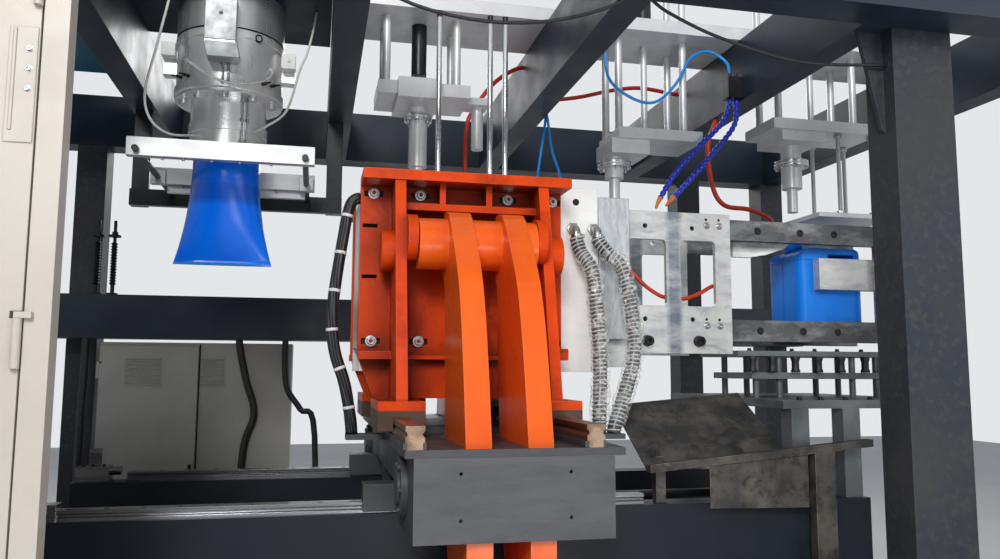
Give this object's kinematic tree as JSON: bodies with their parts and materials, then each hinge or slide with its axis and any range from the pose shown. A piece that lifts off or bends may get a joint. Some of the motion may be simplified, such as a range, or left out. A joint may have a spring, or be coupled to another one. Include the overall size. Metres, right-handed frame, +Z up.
{
  "type": "blow moulding machine",
  "caption": "Shuttle extrusion blow moulding machine for jerrycans: extrusion head, sliding rocker-arm clamp, blow, cooling and trimming stations in a steel frame.",
  "frame": {"origin": "centre of the base frame on the floor", "axes": "+X along the shuttle travel towards the product side, +Y to the rear across the moulds' parting plane, +Z up"},
  "size_m": [5.12, 3.12, 4.21],
  "materials": {
    "frame_paint": "satin",
    "rail_steel": "satin",
    "plate_steel": "satin",
    "drive_black": "satin",
    "head_steel": "satin",
    "parison_blue": "satin",
    "can_blue": "satin",
    "extruder_paint": "satin",
    "gearbox_paint": "satin",
    "carriage_paint": "satin",
    "shaft_steel": "polished",
    "orange_paint": "gloss",
    "mould_aluminium": "satin",
    "table_steel": "worn",
    "guard_paint": "satin",
    "cabinet_paint": "satin",
    "brass": "satin",
    "hose_clear": "gloss",
    "hose_blue": "satin",
    "line_blue": "satin",
    "rubber_black": "matte"
  },
  "bodies": {
    "frame": {"base_side_members": "frame_paint", "base_cross_members": "frame_paint", "base_inner_members": "frame_paint", "columns": "frame_paint", "top_cross_beams": "frame_paint", "top_side_beams": "frame_paint", "rear_mid_beam": "frame_paint", "bed_beams": "frame_paint", "bed_supports": "frame_paint", "shuttle_rails": "rail_steel", "station_plates": "plate_steel", "station_drives": "drive_black", "head_support": "frame_paint", "head_upper_shell": "head_steel", "head_lower_shell": "head_steel", "die_body": "head_steel", "head_fittings": "head_steel", "parison": "parison_blue", "extruder": "extruder_paint", "extruder_gearbox": "gearbox_paint", "sealing_guides": "drive_black", "shuttle_cylinder": "drive_black", "chute_table": "table_steel", "deflash_unit": "table_steel", "guard_post": "guard_paint", "electric_cabinet": "cabinet_paint", "coolant_valves": "drive_black", "coolant_hoses": "hose_blue", "overhead_lines": "line_blue", "rear_hoses": "rubber_black"},
    "carriage": {"carriage_top": "carriage_paint", "carriage_sides": "carriage_paint", "carriage_ends": "carriage_paint", "clamp_rails": "rail_steel", "carriage_runners": "carriage_paint", "pivot_shafts": "shaft_steel", "shuttle_rod": "shaft_steel"},
    "front_clamp": {"front_platen": "orange_paint", "front_runners": "carriage_paint", "front_mould": "mould_aluminium", "front_mask": "mould_aluminium", "hose_elbows": "brass", "spiral_hoses": "hose_clear", "cable_bundle": "rubber_black", "jerrycan": "can_blue"},
    "rear_clamp": {"rear_platen": "orange_paint", "rear_runners": "carriage_paint", "rear_mould": "mould_aluminium", "rear_mask": "mould_aluminium"},
    "front_arm": {"front_rocker": "orange_paint"},
    "rear_arm": {"rear_rocker": "orange_paint"},
    "cylinder": {"clamp_cylinder": "drive_black"},
    "rod": {"clamp_rod": "shaft_steel"},
    "seal_front": {"sealing_bar_front": "mould_aluminium"},
    "seal_rear": {"sealing_bar_rear": "mould_aluminium"},
    "blow_head": {"crosshead_1": "plate_steel"},
    "cool_head": {"crosshead_2": "plate_steel"},
    "trim_head": {"crosshead_3": "plate_steel"},
    "gate": {"guard_door": "guard_paint"},
    "cabinet_leaf": {"cabinet_door": "cabinet_paint"}
  },
  "joints": [
    {"name": "shuttle", "type": "slide", "parent": "frame", "child": "carriage", "axis": [1, 0, 0], "range_m": [-0.95, 0], "deforming": ["parison"]},
    {"name": "clamp_front", "type": "slide", "parent": "carriage", "child": "front_clamp", "axis": [0, 1, 0], "range_m": [-0.26, 0]},
    {"name": "clamp_rear", "type": "slide", "parent": "carriage", "child": "rear_clamp", "axis": [0, 1, 0], "range_m": [0, 0.26]},
    {"name": "rocker_front", "type": "hinge", "parent": "carriage", "child": "front_arm", "pos_m": [0, -0.85, 1.112], "axis": [1, 0, 0], "range_deg": [0, 16.5]},
    {"name": "rocker_rear", "type": "hinge", "parent": "carriage", "child": "rear_arm", "pos_m": [0, 0.85, 1.112], "axis": [1, 0, 0], "range_deg": [-16.5, 0]},
    {"name": "cylinder_pivot", "type": "hinge", "parent": "front_arm", "child": "cylinder", "pos_m": [0.052, -0.964, 0.324], "axis": [1, 0, 0], "range_deg": [-16.5, 0]},
    {"name": "cylinder_stroke", "type": "slide", "parent": "cylinder", "child": "rod", "axis": [0, 1, 0], "range_m": [-0.458, 0]},
    {"name": "seal_front", "type": "slide", "parent": "frame", "child": "seal_front", "axis": [0, 1, 0], "range_m": [0, 0.2]},
    {"name": "seal_rear", "type": "slide", "parent": "frame", "child": "seal_rear", "axis": [0, 1, 0], "range_m": [-0.2, 0]},
    {"name": "blow_pin", "type": "slide", "parent": "frame", "child": "blow_head", "axis": [0, 0, 1], "range_m": [-0.12, 0]},
    {"name": "cooling_pin", "type": "slide", "parent": "frame", "child": "cool_head", "axis": [0, 0, 1], "range_m": [-0.12, 0]},
    {"name": "trimming_pin", "type": "slide", "parent": "frame", "child": "trim_head", "axis": [0, 0, 1], "range_m": [-0.12, 0]},
    {"name": "guard_door", "type": "hinge", "parent": "frame", "child": "gate", "pos_m": [-1.272, -1.518, 0], "axis": [0, 0, 1], "range_deg": [0, 100]},
    {"name": "cabinet_door", "type": "hinge", "parent": "frame", "child": "cabinet_leaf", "pos_m": [-1.729, 1.239, 0], "axis": [0, 0, 1], "range_deg": [-90, 0]}
  ],
  "couplings": [
    {"joint": "clamp_rear", "follows": "clamp_front", "ratio": -1},
    {"joint": "rocker_front", "follows": "clamp_front", "rad_per_m": -1.1076},
    {"joint": "rocker_rear", "follows": "clamp_front", "rad_per_m": 1.1076},
    {"joint": "cylinder_pivot", "follows": "clamp_front", "rad_per_m": 1.1076},
    {"joint": "cylinder_stroke", "follows": "clamp_front", "ratio": 1.7577},
    {"joint": "seal_rear", "follows": "seal_front", "ratio": -1}
  ]
}
